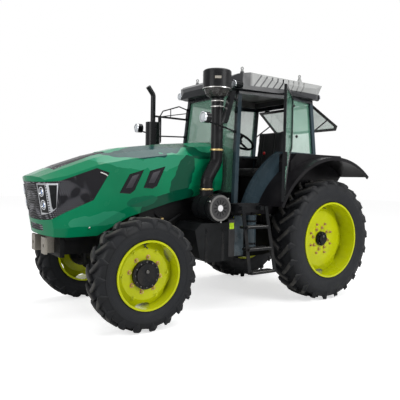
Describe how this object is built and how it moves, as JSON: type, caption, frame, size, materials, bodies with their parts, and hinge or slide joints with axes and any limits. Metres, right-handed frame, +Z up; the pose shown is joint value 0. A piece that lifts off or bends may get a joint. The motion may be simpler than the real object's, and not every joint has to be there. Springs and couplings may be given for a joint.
{
  "type": "farm tractor",
  "caption": "Four-wheel-drive farm tractor with closed cab, tilting hood, opening doors, steered front axle and rear three-point hitch.",
  "frame": {"origin": "bottom centre of the tractor's bounding box, on the ground", "axes": "+X forward, +Y to the driver's left, +Z up"},
  "size_m": [4.3757, 2.1989, 2.788],
  "materials": {
    "tyre": "matt",
    "lime_paint": "gloss",
    "green_paint": "gloss",
    "black_paint": "satin",
    "cast_black": "satin",
    "cab_black": "gloss",
    "dark_plastic": "matt",
    "roof_grey": "satin",
    "grille_black": "matt",
    "lamp_silver": "gloss",
    "lamp_red": "gloss",
    "tinted_glass": "gloss",
    "plate_beige": "matt",
    "steel": "brushed",
    "seat_cloth": "matt",
    "tank_black": "matt"
  },
  "bodies": {
    "chassis": {"front_bolster": "cast_black", "front_plates": "plate_beige", "engine_block": "cast_black", "radiator": "cast_black", "transmission_housing": "cast_black", "rear_axle_housing": "cast_black", "front_axle_beam": "cast_black", "cab_floor": "cab_black", "cab_frame": "cab_black", "cab_rear_panel": "cab_black", "cab_roof": "roof_grey", "cab_windows": "tinted_glass", "rear_window_frame": "cab_black", "rear_window_glass": "tinted_glass", "rear_window_struts": "cab_black", "rear_fenders": "dark_plastic", "tail_lamps": "lamp_red", "seat_base": "dark_plastic", "seat_cushion": "seat_cloth", "seat_back": "seat_cloth", "dashboard": "dark_plastic", "bulkhead": "cab_black", "fuel_tank": "tank_black", "battery_box": "black_paint", "ladders": "black_paint", "air_cleaner": "black_paint", "intake_duct": "black_paint", "precleaner": "dark_plastic", "exhaust_stack": "black_paint", "mirrors": "black_paint", "work_lamps": "lamp_silver"},
    "hood": {"hood_shell": "green_paint", "nose_cowl": "green_paint", "hood_grilles": "grille_black", "headlamps": "lamp_silver"},
    "door_left": {"door_left_frame": "cab_black", "door_left_glass": "tinted_glass"},
    "door_right": {"door_right_frame": "cab_black", "door_right_glass": "tinted_glass"},
    "steering_wheel": {"steering_wheel": "black_paint"},
    "knuckle_left": {"knuckle_left": "cast_black"},
    "knuckle_right": {"knuckle_right": "cast_black"},
    "tie_rod": {"tie_rod": "cast_black"},
    "lower_links": {"lower_links": "cast_black"},
    "lift_arms": {"lift_arms": "black_paint"},
    "lift_rods": {"lift_rods": "black_paint"},
    "pto_shaft": {"pto_shaft": "steel"},
    "wheel_front_left": {"tyre_front_left": "tyre", "rim_front_left": "lime_paint", "hub_front_left": "black_paint"},
    "wheel_front_right": {"tyre_front_right": "tyre", "rim_front_right": "lime_paint", "hub_front_right": "black_paint"},
    "wheel_rear_left": {"tyre_rear_left": "tyre", "rim_rear_left": "lime_paint", "hub_rear_left": "black_paint"},
    "wheel_rear_right": {"tyre_rear_right": "tyre", "rim_rear_right": "lime_paint", "hub_rear_right": "black_paint"}
  },
  "joints": [
    {"name": "hood_tilt", "type": "hinge", "parent": "chassis", "child": "hood", "pos_m": [0.145, -0.1015, 1.815], "axis": [0, -1, 0], "range_deg": [0, 45]},
    {"name": "door_left_swing", "type": "hinge", "parent": "chassis", "child": "door_left", "pos_m": [-0.67579, 0.60905, 1.79192], "axis": [-0.0663, -0.0692, 0.9954], "range_deg": [-48, 27]},
    {"name": "door_right_swing", "type": "hinge", "parent": "chassis", "child": "door_right", "pos_m": [-0.67579, -0.81205, 1.79192], "axis": [0.0663, -0.0692, -0.9954], "range_deg": [0, 75]},
    {"name": "steering_wheel_turn", "type": "hinge", "parent": "chassis", "child": "steering_wheel", "pos_m": [-0.455, -0.1015, 1.945], "axis": [-0.5299, 0, 0.848], "continuous": true},
    {"name": "steer_left", "type": "hinge", "parent": "chassis", "child": "knuckle_left", "pos_m": [1.33, 0.4985, 0.541], "axis": [0, 0, 1], "range_deg": [-30, 30]},
    {"name": "steer_right", "type": "hinge", "parent": "chassis", "child": "knuckle_right", "pos_m": [1.33, -0.7015, 0.541], "axis": [0, 0, 1], "range_deg": [-31, 31]},
    {"name": "tie_rod_shift", "type": "slide", "parent": "chassis", "child": "tie_rod", "axis": [0, 1, 0], "range_m": [-0.09, 0.09]},
    {"name": "lower_links_lift", "type": "hinge", "parent": "chassis", "child": "lower_links", "pos_m": [-1.365, -0.1015, 0.52], "axis": [0, 1, 0], "range_deg": [-12, 26]},
    {"name": "lift_arms_turn", "type": "hinge", "parent": "chassis", "child": "lift_arms", "pos_m": [-1.44, -0.1015, 0.95], "axis": [0, 1, 0], "range_deg": [-17.1, 36.7]},
    {"name": "lift_rods_turn", "type": "hinge", "parent": "lower_links", "child": "lift_rods", "pos_m": [-1.795, -0.1015, 0.49244], "axis": [0, 1, 0], "range_deg": [-20.9, 9.8]},
    {"name": "pto_turn", "type": "hinge", "parent": "chassis", "child": "pto_shaft", "pos_m": [-1.445, -0.1015, 0.64], "axis": [-1, 0, 0], "continuous": true},
    {"name": "wheel_front_left_roll", "type": "hinge", "parent": "knuckle_left", "child": "wheel_front_left", "pos_m": [1.33, 0.6755, 0.541], "axis": [0, 1, 0], "continuous": true},
    {"name": "wheel_front_right_roll", "type": "hinge", "parent": "knuckle_right", "child": "wheel_front_right", "pos_m": [1.33, -0.8785, 0.541], "axis": [0, 1, 0], "continuous": true},
    {"name": "wheel_rear_left_roll", "type": "hinge", "parent": "chassis", "child": "wheel_rear_left", "pos_m": [-1.155, 0.6735, 0.735], "axis": [0, 1, 0], "continuous": true},
    {"name": "wheel_rear_right_roll", "type": "hinge", "parent": "chassis", "child": "wheel_rear_right", "pos_m": [-1.155, -0.8765, 0.735], "axis": [0, 1, 0], "continuous": true}
  ],
  "couplings": [
    {"joint": "steer_right", "follows": "steer_left", "ratio": 1},
    {"joint": "tie_rod_shift", "follows": "steer_left", "m_per_rad": -0.165},
    {"joint": "lift_arms_turn", "follows": "lower_links_lift", "ratio": 1.4021},
    {"joint": "lift_rods_turn", "follows": "lower_links_lift", "ratio": -0.7941}
  ]
}
